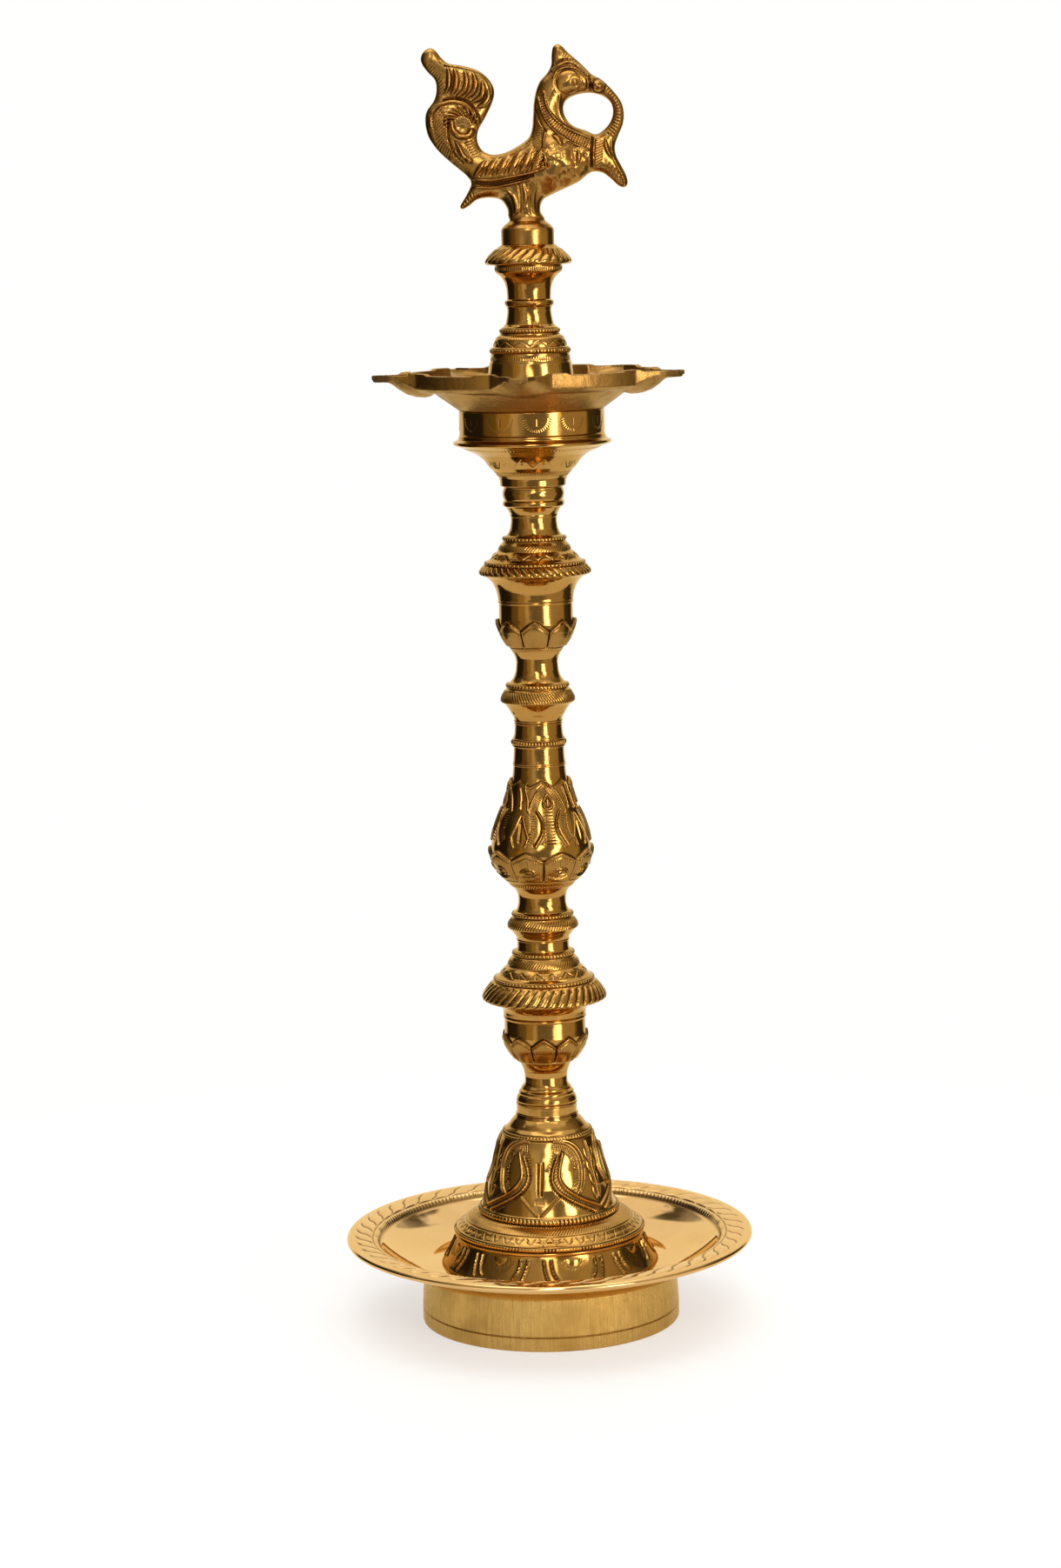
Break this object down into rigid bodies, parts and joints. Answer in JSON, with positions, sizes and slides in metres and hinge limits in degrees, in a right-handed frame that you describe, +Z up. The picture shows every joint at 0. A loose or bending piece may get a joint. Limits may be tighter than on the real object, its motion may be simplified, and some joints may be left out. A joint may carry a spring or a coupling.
{
  "type": "standing oil lamp",
  "caption": "Tall turned brass oil lamp on a round dish base, with a screwed ornate stem, a shallow oil bowl with wick spouts and a bird finial.",
  "frame": {"origin": "centre of the foot ring's resting face, on the table", "axes": "+Z up along the turned stem; the bird faces +X; one wick spout points nearly to -Y"},
  "size_m": [0.1976, 0.1976, 0.61],
  "materials": {
    "polished_brass": "mirror polished, engraved, dark in the cuts",
    "satin_brass": "satin, with fine upright brush marks",
    "cast_brass": "cast, rubbed by hand, duller than the stem",
    "antique_brass": "cast and chased, polished on the high places, brown in the cuts",
    "threaded_brass": "machined thread, unpolished"
  },
  "bodies": {
    "base": {"foot_ring": "satin_brass", "base_plate": "polished_brass", "base_bell": "polished_brass", "tie_bolt": "threaded_brass", "base_washer": "threaded_brass", "base_nut": "threaded_brass"},
    "lower_rod": {"lower_rod": "threaded_brass"},
    "lower_stem": {"bell_collar": "polished_brass", "lower_lotus_cup": "polished_brass", "lower_rope_flange": "polished_brass", "lower_baluster": "polished_brass"},
    "middle_rod": {"middle_rod": "threaded_brass"},
    "middle_stem": {"vase": "polished_brass", "bead_collar": "polished_brass"},
    "upper_rod": {"upper_rod": "threaded_brass"},
    "upper_stem": {"upper_baluster": "polished_brass", "upper_lotus_cup": "polished_brass", "upper_rope_flange": "polished_brass", "bulb_collar": "polished_brass", "drip_cup": "polished_brass"},
    "bowl_stud": {"bowl_stud": "threaded_brass"},
    "bowl": {"oil_bowl": "cast_brass", "bowl_drum": "polished_brass"},
    "finial_stud": {"finial_stud": "threaded_brass"},
    "finial": {"finial_neck": "polished_brass", "finial_rope_collar": "polished_brass"},
    "bird_stud": {"bird_stud": "threaded_brass"},
    "bird": {"bird": "antique_brass"}
  },
  "joints": [
    {"name": "lower_stem_lift", "type": "slide", "parent": "base", "child": "lower_rod", "axis": [0, 0, 1], "range_m": [0, 0.01148]},
    {"name": "lower_stem_turn", "type": "hinge", "parent": "lower_rod", "child": "lower_stem", "pos_m": [0, 0, 0.1015], "axis": [0, 0, 1], "range_deg": [0, 2340]},
    {"name": "middle_stem_lift", "type": "slide", "parent": "lower_stem", "child": "middle_rod", "axis": [0, 0, 1], "range_m": [0, 0.01148]},
    {"name": "middle_stem_turn", "type": "hinge", "parent": "middle_rod", "child": "middle_stem", "pos_m": [0, 0, 0.2069], "axis": [0, 0, 1], "range_deg": [0, 2340]},
    {"name": "upper_stem_lift", "type": "slide", "parent": "middle_stem", "child": "upper_rod", "axis": [0, 0, 1], "range_m": [0, 0.01148]},
    {"name": "upper_stem_turn", "type": "hinge", "parent": "upper_rod", "child": "upper_stem", "pos_m": [0, 0, 0.293], "axis": [0, 0, 1], "range_deg": [0, 2340]},
    {"name": "bowl_lift", "type": "slide", "parent": "upper_stem", "child": "bowl_stud", "axis": [0, 0, 1], "range_m": [0, 0.01148]},
    {"name": "bowl_turn", "type": "hinge", "parent": "bowl_stud", "child": "bowl", "pos_m": [0, 0, 0.4288], "axis": [0, 0, 1], "range_deg": [0, 2340]},
    {"name": "finial_lift", "type": "slide", "parent": "bowl", "child": "finial_stud", "axis": [0, 0, 1], "range_m": [0, 0.01148]},
    {"name": "finial_turn", "type": "hinge", "parent": "finial_stud", "child": "finial", "pos_m": [0, 0, 0.4446], "axis": [0, 0, 1], "range_deg": [0, 2340]},
    {"name": "bird_lift", "type": "slide", "parent": "finial", "child": "bird_stud", "axis": [0, 0, 1], "range_m": [0, 0.01148]},
    {"name": "bird_turn", "type": "hinge", "parent": "bird_stud", "child": "bird", "pos_m": [0, 0, 0.518], "axis": [0, 0, 1], "range_deg": [0, 2340]}
  ],
  "couplings": [
    {"joint": "lower_stem_lift", "follows": "lower_stem_turn", "m_per_rad": 0.00027852},
    {"joint": "middle_stem_lift", "follows": "middle_stem_turn", "m_per_rad": 0.00027852},
    {"joint": "upper_stem_lift", "follows": "upper_stem_turn", "m_per_rad": 0.00027852},
    {"joint": "bowl_lift", "follows": "bowl_turn", "m_per_rad": 0.00027852},
    {"joint": "finial_lift", "follows": "finial_turn", "m_per_rad": 0.00027852},
    {"joint": "bird_lift", "follows": "bird_turn", "m_per_rad": 0.00027852}
  ]
}
